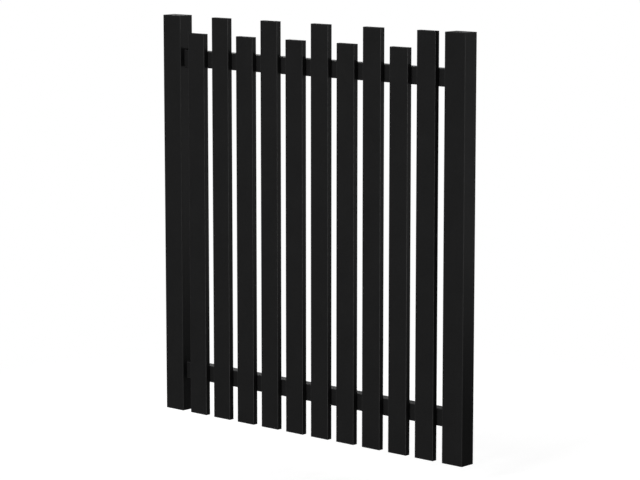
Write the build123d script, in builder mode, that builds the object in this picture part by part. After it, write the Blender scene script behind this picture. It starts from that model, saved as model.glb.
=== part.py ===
"""A pedestrian gate leaf of hollow aluminium sections.

Two stiles stand at the ends of the leaf and two rails are butted between them.
A row of pickets, short and tall by turns, is fixed to the fronts of the rails,
flush with the fronts of the stiles. Moulded caps plug the ends of every upright.

The origin is on the outer side face of the left stile, at half its depth and half
its height. +X runs along the leaf to the right stile, +Y to the back and +Z up.
"""
import os
from dataclasses import dataclass

from build123d import *

# Driving dimensions of the leaf, in millimetres
leaf_width = 965.0
leaf_height = 1000.0

# Stiles: the uprights at both ends
stile_width = 60.0
stile_depth = 42.0
stile_wall = 2.0
stile_corner = 1.5

# Rails: butted between the stiles, behind the pickets
rail_height = 41.0
rail_wall = 2.0
rail_corner = 1.5
lower_rail_clear = 83.0
upper_rail_clear = 86.0

# Pickets: flat hollow slats, every second one short
picket_count = 10
picket_width = 55.0
picket_thickness = 14.0
picket_wall = 1.4
picket_corner = 1.0
short_picket_drop = 42.0

# Caps: a plate over the end of the tube and a ribbed plug inside it
cap_plate = 2.0
cap_edge = 0.6
plug_length = 14.0
plug_wall = 1.5
plug_clearance = 0.8
rib_width = 2.0
rib_clearance = 0.05
rib_setback = 3.0

# Places that follow from the sizes above
leaf_bottom = -leaf_height / 2
leaf_top = leaf_height / 2
leaf_front = -stile_depth / 2
leaf_back = stile_depth / 2
picket_middle_y = leaf_front + picket_thickness / 2
rail_front = leaf_front + picket_thickness
rail_depth = leaf_back - rail_front
rail_length = leaf_width - 2 * stile_width
picket_gap = (rail_length - picket_count * picket_width) / (picket_count + 1)


@dataclass
class Section:
    """The outline and wall of one hollow extrusion."""

    width: float
    depth: float
    wall: float
    corner: float


stile_section = Section(stile_width, stile_depth, stile_wall, stile_corner)
rail_section = Section(rail_depth, rail_height, rail_wall, rail_corner)
picket_section = Section(picket_width, picket_thickness, picket_wall, picket_corner)


def make_tube(name, section, start, length):
    """A straight length of one section, drawn on its start plane and extruded along it."""
    bore_width = section.width - 2 * section.wall
    bore_depth = section.depth - 2 * section.wall
    with BuildPart() as tube:
        with BuildSketch(start):
            RectangleRounded(section.width, section.depth, section.corner)
            Rectangle(bore_width, bore_depth, mode=Mode.SUBTRACT)
        extrude(amount=length)
    tube.part.label = name
    export_step(tube.part, f"parts/{name}.step")


def mould_cap(section):
    """The cap moulding for one section: it seats on the tube's end at Z = 0 and plugs in below."""
    plug_width = section.width - 2 * (section.wall + plug_clearance)
    plug_depth = section.depth - 2 * (section.wall + plug_clearance)
    # A rib starts halfway through the plug's wall and stops just short of the tube's wall
    rib_reach = plug_wall / 2 + plug_clearance - rib_clearance
    rib_shift = plug_clearance - rib_clearance - rib_reach / 2
    with BuildPart() as cap:
        with BuildSketch():
            RectangleRounded(section.width, section.depth, section.corner)
        extrude(amount=cap_plate)
        chamfer(cap.faces().sort_by(Axis.Z)[-1].edges(), cap_edge)

        # The plug is a hollow skirt, open at its lower end
        with BuildSketch():
            Rectangle(plug_width, plug_depth)
            offset(amount=-plug_wall, kind=Kind.INTERSECTION, mode=Mode.SUBTRACT)
        extrude(amount=-plug_length)

        # Ribs on its long and short walls grip the tube, and stop short to let the plug start
        with BuildSketch():
            with GridLocations(plug_width / 2, plug_depth + 2 * rib_shift, 2, 2):
                Rectangle(rib_width, rib_reach)
            with GridLocations(plug_width + 2 * rib_shift, 0, 2, 1):
                Rectangle(rib_reach, rib_width)
        extrude(amount=rib_setback - plug_length)
    return cap.part


def make_cap(name, moulding, seat):
    """One cap moulding on the end of its tube; the seat plane faces out of the tube."""
    with BuildPart(seat) as cap:
        add(moulding)
    cap.part.label = name
    export_step(cap.part, f"parts/{name}.step")


def make_upright(name, section, moulding, middle_x, middle_y, top):
    """A tube between two caps, from the bottom of the leaf to the upright's own top."""
    lower_end = Plane((middle_x, middle_y, leaf_bottom + cap_plate))
    upper_end = Plane((middle_x, middle_y, top - cap_plate))
    make_tube(name, section, lower_end, top - leaf_bottom - 2 * cap_plate)
    make_cap(f"{name}_top_cap", moulding, upper_end)
    make_cap(f"{name}_bottom_cap", moulding, -lower_end)


os.makedirs("parts", exist_ok=True)

# Stiles
stile_cap = mould_cap(stile_section)
stile_middles = {"left_stile": stile_width / 2, "right_stile": leaf_width - stile_width / 2}
for stile_name, stile_x in stile_middles.items():
    make_upright(stile_name, stile_section, stile_cap, stile_x, 0, leaf_top)

# Rails, from the inner face of one stile to the inner face of the other
rail_bottoms = {
    "lower_rail": leaf_bottom + lower_rail_clear,
    "upper_rail": leaf_top - upper_rail_clear - rail_height,
}
for rail_name, rail_bottom in rail_bottoms.items():
    rail_end = (stile_width, rail_front + rail_depth / 2, rail_bottom + rail_height / 2)
    make_tube(rail_name, rail_section, Plane(rail_end, x_dir=(0, 1, 0), z_dir=(1, 0, 0)), rail_length)

# Pickets, evenly spaced between the stiles, the first of them short
picket_cap = mould_cap(picket_section)
for index in range(picket_count):
    picket_top = leaf_top - short_picket_drop if index % 2 == 0 else leaf_top
    picket_x = stile_width + picket_gap + picket_width / 2 + index * (picket_width + picket_gap)
    make_upright(
        f"picket_{index + 1:02d}", picket_section, picket_cap, picket_x, picket_middle_y, picket_top
    )
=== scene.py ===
import math
import random

import bmesh
import bpy
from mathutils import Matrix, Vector


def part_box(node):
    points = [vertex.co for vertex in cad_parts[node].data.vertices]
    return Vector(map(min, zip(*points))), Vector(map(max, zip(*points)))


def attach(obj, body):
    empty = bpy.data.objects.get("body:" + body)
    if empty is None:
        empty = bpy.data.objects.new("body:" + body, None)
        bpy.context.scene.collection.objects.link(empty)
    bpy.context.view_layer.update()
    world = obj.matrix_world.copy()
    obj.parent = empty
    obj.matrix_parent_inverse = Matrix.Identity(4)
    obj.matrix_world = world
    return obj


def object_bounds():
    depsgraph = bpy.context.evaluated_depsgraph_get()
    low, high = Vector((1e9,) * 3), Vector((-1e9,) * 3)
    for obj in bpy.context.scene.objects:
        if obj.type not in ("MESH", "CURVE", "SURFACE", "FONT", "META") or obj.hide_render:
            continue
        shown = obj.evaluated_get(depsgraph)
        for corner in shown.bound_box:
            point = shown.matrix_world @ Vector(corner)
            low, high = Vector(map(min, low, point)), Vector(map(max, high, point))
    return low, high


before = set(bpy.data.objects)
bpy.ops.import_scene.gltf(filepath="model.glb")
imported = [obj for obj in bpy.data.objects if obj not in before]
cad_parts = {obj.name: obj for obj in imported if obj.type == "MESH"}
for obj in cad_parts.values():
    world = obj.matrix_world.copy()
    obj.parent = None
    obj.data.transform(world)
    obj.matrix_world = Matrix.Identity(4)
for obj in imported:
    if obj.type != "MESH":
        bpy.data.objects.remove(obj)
cad_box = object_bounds()


# Stiles: the two uprights at the ends of the leaf, hollow aluminium tube of rectangular section.
# They are cut to length, welded to the rails and powder coated satin black together with them.
# The melted powder flows out to a fine orange peel, and a lighter grey is painted on the round of each
# corner as its highlight.
def powder_coat(name, draw_axis=None, corner_highlight_grey=0.023):
    """Baked satin black powder; draw_axis is the length of the drawn tube under it, if there is one,
    and corner_highlight_grey is the lighter grey painted on the corners of that tube as their highlight."""
    coat = bpy.data.materials.new(name)
    coat.use_nodes = True
    nodes = coat.node_tree.nodes
    link = coat.node_tree.links.new
    shader = nodes["Principled BSDF"]
    shader.inputs["Specular IOR Level"].default_value = 0.010
    surface = nodes.new("ShaderNodeTexCoord")

    # Orange peel about a millimetre across, with the grain of the powder on top of it
    peel = nodes.new("ShaderNodeTexNoise")
    peel.inputs["Scale"].default_value = 750.0
    peel.inputs["Detail"].default_value = 1.5
    link(surface.outputs["Object"], peel.inputs["Vector"])
    grain = nodes.new("ShaderNodeTexNoise")
    grain.inputs["Scale"].default_value = 3200.0
    link(surface.outputs["Object"], grain.inputs["Vector"])
    grain_share = 0.3
    relief = nodes.new("ShaderNodeMath")
    relief.operation = "MULTIPLY_ADD"
    relief.inputs[1].default_value = grain_share
    link(grain.outputs["Fac"], relief.inputs[0])
    link(peel.outputs["Fac"], relief.inputs[2])
    bump = nodes.new("ShaderNodeBump")
    bump.inputs["Strength"].default_value = 0.7
    bump.inputs["Distance"].default_value = 0.00012
    link(relief.outputs["Value"], bump.inputs["Height"])
    link(bump.outputs["Normal"], shader.inputs["Normal"])

    # The black is deeper in the hollows of the peel, and it and the shine drift with the coat's thickness
    cloud = nodes.new("ShaderNodeTexNoise")
    cloud.inputs["Scale"].default_value = 14.0
    cloud.inputs["Detail"].default_value = 3.0
    link(surface.outputs["Object"], cloud.inputs["Vector"])
    cloud_share = 0.3
    mottle = nodes.new("ShaderNodeMath")
    mottle.operation = "MULTIPLY_ADD"
    mottle.inputs[1].default_value = cloud_share
    link(cloud.outputs["Fac"], mottle.inputs[0])
    link(relief.outputs["Value"], mottle.inputs[2])
    black = nodes.new("ShaderNodeValToRGB")
    black.color_ramp.elements[0].position = 0.6
    black.color_ramp.elements[0].color = (0.0072, 0.0072, 0.0073, 1.0)
    black.color_ramp.elements[1].position = 1.0
    black.color_ramp.elements[1].color = (0.0110, 0.0110, 0.0111, 1.0)
    link(mottle.outputs["Value"], black.inputs["Fac"])
    link(black.outputs["Color"], shader.inputs["Base Color"])
    shine = nodes.new("ShaderNodeMapRange")
    shine.inputs["To Min"].default_value = 0.46
    shine.inputs["To Max"].default_value = 0.54
    link(cloud.outputs["Fac"], shine.inputs["Value"])
    link(shine.outputs["Result"], shader.inputs["Roughness"])
    if draw_axis is None:
        return coat

    # Faint lines of the die, which run along the tube under the powder
    lines_along = 2.0
    lines_across = 420.0
    line_scale = [lines_along if axis == draw_axis else lines_across for axis in "XYZ"]
    stretch = nodes.new("ShaderNodeMapping")
    stretch.inputs["Scale"].default_value = line_scale
    link(surface.outputs["Object"], stretch.inputs["Vector"])
    draw_lines = nodes.new("ShaderNodeTexNoise")
    draw_lines.inputs["Scale"].default_value = 1.0
    link(stretch.outputs["Vector"], draw_lines.inputs["Vector"])
    line_share = 0.25
    lined_relief = nodes.new("ShaderNodeMath")
    lined_relief.operation = "MULTIPLY_ADD"
    lined_relief.inputs[1].default_value = line_share
    link(draw_lines.outputs["Fac"], lined_relief.inputs[0])
    link(relief.outputs["Value"], lined_relief.inputs[2])
    link(lined_relief.outputs["Value"], bump.inputs["Height"])

    # The round of a corner faces two ways across the tube at once: there a lighter grey is painted as its
    # highlight, and the roughness is a little lower
    facing = nodes.new("ShaderNodeSeparateXYZ")
    link(surface.outputs["Normal"], facing.inputs["Vector"])
    both_ways = nodes.new("ShaderNodeMath")
    both_ways.operation = "MULTIPLY"
    for socket, axis in enumerate(axis for axis in "XYZ" if axis != draw_axis):
        link(facing.outputs[axis], both_ways.inputs[socket])
    either_side = nodes.new("ShaderNodeMath")
    either_side.operation = "ABSOLUTE"
    link(both_ways.outputs["Value"], either_side.inputs[0])
    corner_highlight_mask = nodes.new("ShaderNodeMapRange")
    corner_highlight_mask.inputs["From Min"].default_value = 0.08
    corner_highlight_mask.inputs["From Max"].default_value = 0.4
    link(either_side.outputs["Value"], corner_highlight_mask.inputs["Value"])
    # Painted highlight: a lighter grey mixed over the black on the rounds of the corners
    painted_corner_highlight = nodes.new("ShaderNodeMixRGB")
    painted_corner_highlight.inputs["Color2"].default_value = (corner_highlight_grey, corner_highlight_grey, corner_highlight_grey, 1.0)
    link(corner_highlight_mask.outputs["Result"], painted_corner_highlight.inputs["Fac"])
    link(black.outputs["Color"], painted_corner_highlight.inputs["Color1"])
    link(painted_corner_highlight.outputs["Color"], shader.inputs["Base Color"])
    roughness_lost = 0.1
    rubbed = nodes.new("ShaderNodeMath")
    rubbed.operation = "MULTIPLY_ADD"
    rubbed.inputs[1].default_value = -roughness_lost
    link(corner_highlight_mask.outputs["Result"], rubbed.inputs[0])
    link(shine.outputs["Result"], rubbed.inputs[2])
    link(rubbed.outputs["Value"], shader.inputs["Roughness"])
    return coat


def finish_nodes(names, material):
    """Puts one finish on CAD nodes."""
    for node_name in names:
        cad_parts[node_name].data.materials.clear()
        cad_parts[node_name].data.materials.append(material)


finish_nodes(("left_stile", "right_stile"), powder_coat("powder_coat_stiles", "Z"))


# Rails: the two cross members, hollow aluminium tube like the stiles but smaller in section.
# Their square-cut ends are butted against the inner faces of the stiles and welded there.
rail_names = ("upper_rail", "lower_rail")
finish_nodes(rail_names, powder_coat("powder_coat_rails", "X"))


# Welds: the beads that join the rails to the stiles, laid by hand in aluminium before the coating.
# Fillets run along the top and bottom of each rail end, and a low capping bead closes the back,
# where rail and stile are flush. The front is left clean, so that the pickets lie flat.
bead_leg = 0.0035
capping_half_width = 0.003
capping_height = 0.0012
bead_sink = 0.0002
bead_setback = 0.0015
bead_rounding = 0.003
bead_end_size = 0.3
ripple_pitch = 0.0022
ripple_depth = 0.28
ripple_bow = 0.6
steps_in_ripple = 6
steps_in_arc = 10
crease_angle = math.radians(40.0)
weld_coat = powder_coat("powder_coat_welds")


def lay_bead(shape, start, end, side, out, sweep, reach, height):
    """Adds a rippled bead from start to end; its face turns from side, through out, by sweep radians."""
    length = (end - start).length
    stations = math.ceil(length / ripple_pitch) * steps_in_ripple
    rings = []
    for station in range(stations + 1):
        gone = length * station / stations
        root = start.lerp(end, station / stations) - out * bead_sink
        near_end = min(1.0, min(gone, length - gone) / bead_rounding)
        swell = bead_end_size + (1.0 - bead_end_size) * math.sqrt(1.0 - (1.0 - near_end) ** 2)
        ring = [shape.verts.new(root - out * bead_sink - side * bead_sink)]
        for step in range(steps_in_arc + 1):
            across = step / steps_in_arc
            phase = gone / ripple_pitch + ripple_bow * math.sin(math.pi * across)
            size = swell * (1.0 - ripple_depth * abs(math.sin(math.pi * phase)))
            turn = sweep * across
            face = side * (reach * math.cos(turn)) + out * (height * math.sin(turn))
            ring.append(shape.verts.new(root + face * size))
        rings.append(ring)
    for near, far in zip(rings, rings[1:]):
        for corner in range(len(near)):
            last = corner - 1
            shape.faces.new((near[last], near[corner], far[corner], far[last]))
    shape.faces.new(rings[0])
    shape.faces.new(rings[-1])


def add_piece(name, shape, material):
    """Makes a piece of the leaf from a finished bmesh, with soft shading up to its sharp edges."""
    bmesh.ops.recalc_face_normals(shape, faces=shape.faces)
    mesh = bpy.data.meshes.new(name)
    shape.to_mesh(mesh)
    shape.free()
    mesh.shade_smooth()
    mesh.set_sharp_from_angle(angle=crease_angle)
    mesh.materials.append(material)
    piece = bpy.data.objects.new(name, mesh)
    bpy.context.scene.collection.objects.link(piece)
    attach(piece, "root")


up = Vector((0.0, 0.0, 1.0))
back = Vector((0.0, 1.0, 0.0))
for rail_name in rail_names:
    low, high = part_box(rail_name)
    for end_name, end_x, inward in (("left", low.x, 1.0), ("right", high.x, -1.0)):
        along_rail = Vector((inward, 0.0, 0.0))
        weld_shape = bmesh.new()
        for edge_z, out in ((high.z, up), (low.z, -up)):
            fillet_start = Vector((end_x, low.y + bead_setback, edge_z))
            fillet_end = Vector((end_x, high.y - bead_setback, edge_z))
            lay_bead(weld_shape, fillet_start, fillet_end, along_rail, out, math.pi / 2, bead_leg, bead_leg)
        capping_start = Vector((end_x, high.y, low.z))
        capping_end = Vector((end_x, high.y, high.z))
        lay_bead(
            weld_shape, capping_start, capping_end, along_rail, back,
            math.pi, capping_half_width, capping_height,
        )
        add_piece(f"weld_{rail_name}_{end_name}", weld_shape, weld_coat)


# Pickets: ten flat hollow aluminium slats, coated one by one before they are put on.
# They stand on the fronts of the rails, flush with the stiles, short and tall by turns.
# Their corners are sharper than those of the stiles, so the grey painted on them as a highlight is lighter,
# to show as strongly on the narrower round.
tube_names = [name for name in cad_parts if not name.endswith("_cap")]
picket_names = sorted(name for name in tube_names if name.startswith("picket_"))
finish_nodes(picket_names, powder_coat("powder_coat_pickets", "Z", corner_highlight_grey=0.040))


# Screws: two for each picket at each rail, driven from behind through the rail into the slat.
# They are steel with pan heads and six-lobed recesses, their heads painted to match the leaf.
screw_spacing = 0.028
head_segments = 36
recess_lobes = 6
lobe_pitch = 2.0 * math.pi / recess_lobes
# The head from the floor of its recess out to its seat: radius, depth of the lobes and height
head_profile = (
    (0.00155, 0.00030, 0.0011),
    (0.00175, 0.00035, 0.0025),
    (0.00270, 0.0, 0.0026),
    (0.00360, 0.0, 0.00245),
    (0.00430, 0.0, 0.0020),
    (0.00465, 0.0, 0.0013),
    (0.00475, 0.0, 0.0006),
    (0.00475, 0.0, -0.0002),
)
screw_turns = random.Random(5)


def screw_paint():
    """Black enamel on a steel head, dulled a little where the driver has turned in it."""
    paint = bpy.data.materials.new("screw_paint")
    paint.use_nodes = True
    nodes = paint.node_tree.nodes
    link = paint.node_tree.links.new
    shader = nodes["Principled BSDF"]
    shader.inputs["Specular IOR Level"].default_value = 0.04
    surface = nodes.new("ShaderNodeTexCoord")
    scuff = nodes.new("ShaderNodeTexNoise")
    scuff.inputs["Scale"].default_value = 900.0
    scuff.inputs["Detail"].default_value = 4.0
    link(surface.outputs["Object"], scuff.inputs["Vector"])
    enamel = nodes.new("ShaderNodeValToRGB")
    enamel.color_ramp.elements[0].position = 0.45
    enamel.color_ramp.elements[0].color = (0.0075, 0.0075, 0.0078, 1.0)
    enamel.color_ramp.elements[1].position = 0.8
    enamel.color_ramp.elements[1].color = (0.020, 0.020, 0.021, 1.0)
    link(scuff.outputs["Fac"], enamel.inputs["Fac"])
    link(enamel.outputs["Color"], shader.inputs["Base Color"])
    dulling = nodes.new("ShaderNodeMapRange")
    dulling.inputs["To Min"].default_value = 0.28
    dulling.inputs["To Max"].default_value = 0.48
    link(scuff.outputs["Fac"], dulling.inputs["Value"])
    link(dulling.outputs["Result"], shader.inputs["Roughness"])
    bump = nodes.new("ShaderNodeBump")
    bump.inputs["Strength"].default_value = 0.3
    bump.inputs["Distance"].default_value = 0.00005
    link(scuff.outputs["Fac"], bump.inputs["Height"])
    link(bump.outputs["Normal"], shader.inputs["Normal"])
    return paint


def drive_screw(shape, seat, turned):
    """Adds one head that faces the back, seated on the rail and turned about its own axis."""
    rings = []
    for radius, lobe_depth, height in head_profile:
        ring = []
        for segment in range(head_segments):
            angle = 2.0 * math.pi * segment / head_segments
            reach = radius + lobe_depth * math.cos(recess_lobes * angle)
            sideways = reach * math.cos(angle + turned)
            upward = reach * math.sin(angle + turned)
            ring.append(shape.verts.new(seat + Vector((sideways, height, upward))))
        rings.append(ring)
    for inner, outer in zip(rings, rings[1:]):
        for corner in range(head_segments):
            last = corner - 1
            shape.faces.new((inner[last], inner[corner], outer[corner], outer[last]))
    shape.faces.new(rings[0])
    shape.faces.new(rings[-1])


screw_black = screw_paint()
for rail_name in rail_names:
    low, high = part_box(rail_name)
    screw_shape = bmesh.new()
    for picket_name in picket_names:
        picket_low, picket_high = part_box(picket_name)
        for offset in (-screw_spacing / 2, screw_spacing / 2):
            seat_x = (picket_low.x + picket_high.x) / 2 + offset
            seat = Vector((seat_x, high.y, (low.z + high.z) / 2))
            drive_screw(screw_shape, seat, screw_turns.uniform(0.0, lobe_pitch))
    add_piece(f"screws_{rail_name}", screw_shape, screw_black)


# Caps: moulded black plastic plugs in both ends of every stile and picket, to keep the rain out.
# They are pressed into the tubes, and their plates take a fine even texture from the spark-cut mould.
def moulded_plastic():
    """Black moulded plastic: matt, with a fine even texture and faint flow marks."""
    plastic = bpy.data.materials.new("cap_plastic_black")
    plastic.use_nodes = True
    nodes = plastic.node_tree.nodes
    link = plastic.node_tree.links.new
    shader = nodes["Principled BSDF"]
    shader.inputs["Specular IOR Level"].default_value = 0.010
    surface = nodes.new("ShaderNodeTexCoord")
    flow = nodes.new("ShaderNodeTexNoise")
    flow.inputs["Scale"].default_value = 60.0
    flow.inputs["Distortion"].default_value = 1.5
    link(surface.outputs["Object"], flow.inputs["Vector"])
    black = nodes.new("ShaderNodeValToRGB")
    black.color_ramp.elements[0].position = 0.3
    black.color_ramp.elements[0].color = (0.0122, 0.0122, 0.0124, 1.0)
    black.color_ramp.elements[1].position = 0.7
    black.color_ramp.elements[1].color = (0.0152, 0.0152, 0.0155, 1.0)
    link(flow.outputs["Fac"], black.inputs["Fac"])
    link(black.outputs["Color"], shader.inputs["Base Color"])
    matt = nodes.new("ShaderNodeMapRange")
    matt.inputs["To Min"].default_value = 0.52
    matt.inputs["To Max"].default_value = 0.62
    link(flow.outputs["Fac"], matt.inputs["Value"])
    link(matt.outputs["Result"], shader.inputs["Roughness"])
    spark_texture = nodes.new("ShaderNodeTexVoronoi")
    spark_texture.inputs["Scale"].default_value = 2600.0
    link(surface.outputs["Object"], spark_texture.inputs["Vector"])
    bump = nodes.new("ShaderNodeBump")
    bump.inputs["Strength"].default_value = 0.3
    bump.inputs["Distance"].default_value = 0.00005
    link(spark_texture.outputs["Distance"], bump.inputs["Height"])
    link(bump.outputs["Normal"], shader.inputs["Normal"])
    return plastic


cap_names = [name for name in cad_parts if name.endswith("_cap")]
finish_nodes(cap_names, moulded_plastic())


# Studio: a seamless white floor a little under the leaf, which hangs clear of the ground in use,
# soft boxes around the leaf, with a far one whose light grazes the tops of the rails, a lamp from
# the right whose beam ends above the foot of the leaf, and the camera at the photograph's angle.
ground_clearance = 0.05
floor_radius = 6.0
floor_segments = 96
leaf_middle = (cad_box[0] + cad_box[1]) / 2
floor_mesh = bpy.data.meshes.new("studio_floor")
floor_shape = bmesh.new()
bmesh.ops.create_circle(floor_shape, cap_ends=True, segments=floor_segments, radius=floor_radius)
floor_shape.to_mesh(floor_mesh)
floor_shape.free()
floor = bpy.data.objects.new("studio_floor", floor_mesh)
floor.location = (leaf_middle.x, leaf_middle.y, cad_box[0].z - ground_clearance)
bpy.context.scene.collection.objects.link(floor)


def shows_itself(tree):
    """1 for rays that show the studio: to the camera, in a reflection or through glass; 0 for its light."""
    path = tree.nodes.new("ShaderNodeLightPath")
    camera_or_glossy = tree.nodes.new("ShaderNodeMath")
    camera_or_glossy.operation = "MAXIMUM"
    tree.links.new(path.outputs["Is Camera Ray"], camera_or_glossy.inputs[0])
    tree.links.new(path.outputs["Is Glossy Ray"], camera_or_glossy.inputs[1])
    any_of_three = tree.nodes.new("ShaderNodeMath")
    any_of_three.operation = "MAXIMUM"
    tree.links.new(camera_or_glossy.outputs["Value"], any_of_three.inputs[0])
    tree.links.new(path.outputs["Is Transmission Ray"], any_of_three.inputs[1])
    return any_of_three.outputs["Value"]


# The floor is white paper that takes the leaf's shadow, and whitens out away from the leaf
paper = bpy.data.materials.new("studio_paper")
paper.use_nodes = True
nodes = paper.node_tree.nodes
link = paper.node_tree.links.new
nodes.remove(nodes["Principled BSDF"])
lit_paper = nodes.new("ShaderNodeBsdfDiffuse")
lit_paper.inputs["Color"].default_value = (0.6, 0.6, 0.6, 1.0)
from_leaf = nodes.new("ShaderNodeVectorMath")
from_leaf.operation = "LENGTH"
link(nodes.new("ShaderNodeTexCoord").outputs["Object"], from_leaf.inputs[0])
whitening = nodes.new("ShaderNodeMapRange")
whitening.interpolation_type = "SMOOTHSTEP"
whitening.inputs["From Min"].default_value = 0.5
whitening.inputs["From Max"].default_value = 1.4
link(from_leaf.outputs["Value"], whitening.inputs["Value"])
shown = shows_itself(paper.node_tree)
near_glow = nodes.new("ShaderNodeMapRange")
near_glow.inputs["To Max"].default_value = 0.64
link(shown, near_glow.inputs["Value"])
glow = nodes.new("ShaderNodeEmission")
link(near_glow.outputs["Result"], glow.inputs["Strength"])
near_paper = nodes.new("ShaderNodeAddShader")
link(lit_paper.outputs["BSDF"], near_paper.inputs[0])
link(glow.outputs["Emission"], near_paper.inputs[1])
far_share = nodes.new("ShaderNodeMath")
far_share.operation = "MULTIPLY"
link(whitening.outputs["Result"], far_share.inputs[0])
link(shown, far_share.inputs[1])
near_and_far = nodes.new("ShaderNodeMixShader")
link(far_share.outputs["Value"], near_and_far.inputs["Fac"])
link(near_paper.outputs["Shader"], near_and_far.inputs[1])
link(nodes.new("ShaderNodeEmission").outputs["Emission"], near_and_far.inputs[2])
link(near_and_far.outputs["Shader"], nodes["Material Output"].inputs["Surface"])
floor_mesh.materials.append(paper)

# The backdrop is pure white where it shows, and gives the leaf a weak light from all round
world = bpy.data.worlds.new("studio_white")
world.use_nodes = True
bpy.context.scene.world = world
backdrop = world.node_tree.nodes["Background"]
backdrop.inputs["Color"].default_value = (1.0, 1.0, 1.0, 1.0)
backdrop_level = world.node_tree.nodes.new("ShaderNodeMapRange")
backdrop_level.inputs["To Min"].default_value = 0.22
backdrop_level.inputs["To Max"].default_value = 1.0
world.node_tree.links.new(shows_itself(world.node_tree), backdrop_level.inputs["Value"])
world.node_tree.links.new(backdrop_level.outputs["Result"], backdrop.inputs["Strength"])


def hang_lamp(name, kind, watts, azimuth, elevation, distance, aim):
    """A lamp that faces aim from an azimuth and elevation in degrees; azimuth 0 is in front of the leaf."""
    level = math.cos(math.radians(elevation))
    turn = math.radians(azimuth)
    way = Vector((math.sin(turn) * level, -math.cos(turn) * level, math.sin(math.radians(elevation))))
    lamp = bpy.data.lights.new(name, kind)
    lamp.energy = watts
    holder = bpy.data.objects.new(name, lamp)
    holder.location = aim + way * distance
    holder.rotation_euler = (-way).to_track_quat("-Z", "Y").to_euler()
    bpy.context.scene.collection.objects.link(holder)
    return lamp


# Each soft box by its watts, its azimuth in degrees, and its distance and side in metres
box_elevation = 10.0
soft_boxes = (
    ("front_lamp", 185.0, 2.0, 4.5, 2.0),
    ("back_lamp", 120.0, 185.0, 4.5, 2.0),
    ("left_lamp", 110.0, 262.0, 4.5, 2.0),
    ("far_lamp", 120.0, 232.0, 8.0, 3.5),
)
for lamp_name, watts, azimuth, distance, side in soft_boxes:
    soft_box = hang_lamp(lamp_name, "AREA", watts, azimuth, box_elevation, distance, leaf_middle)
    soft_box.shape = "SQUARE"
    soft_box.size = side

# The lamp from the right is aimed above the leaf, so the soft edge of its beam crosses the lower half
beam_middle = leaf_middle + up * 0.56
beam_angle = math.radians(14.3)
side_lamp = hang_lamp(
    "side_lamp", "SPOT", watts=2400.0, azimuth=115.0, elevation=-5.5, distance=8.0, aim=beam_middle
)
side_lamp.spot_size = beam_angle
side_lamp.spot_blend = 0.8
side_lamp.shadow_soft_size = 0.12

# The camera looks down a little at the leaf, from in front and to the right
camera_place = (4.5675, -4.5174, 0.9036)
camera_azimuth = math.radians(41.95)
camera_tilt = math.radians(8.639)
lens = bpy.data.cameras.new("camera")
lens.sensor_width = 36.0
lens.lens = 144.04
lens.clip_end = 200.0
camera = bpy.data.objects.new("camera", lens)
camera.location = camera_place
camera.rotation_euler = (math.pi / 2 - camera_tilt, 0.0, camera_azimuth)
bpy.context.scene.collection.objects.link(camera)
bpy.context.scene.camera = camera
bpy.context.scene.view_settings.view_transform = "Standard"
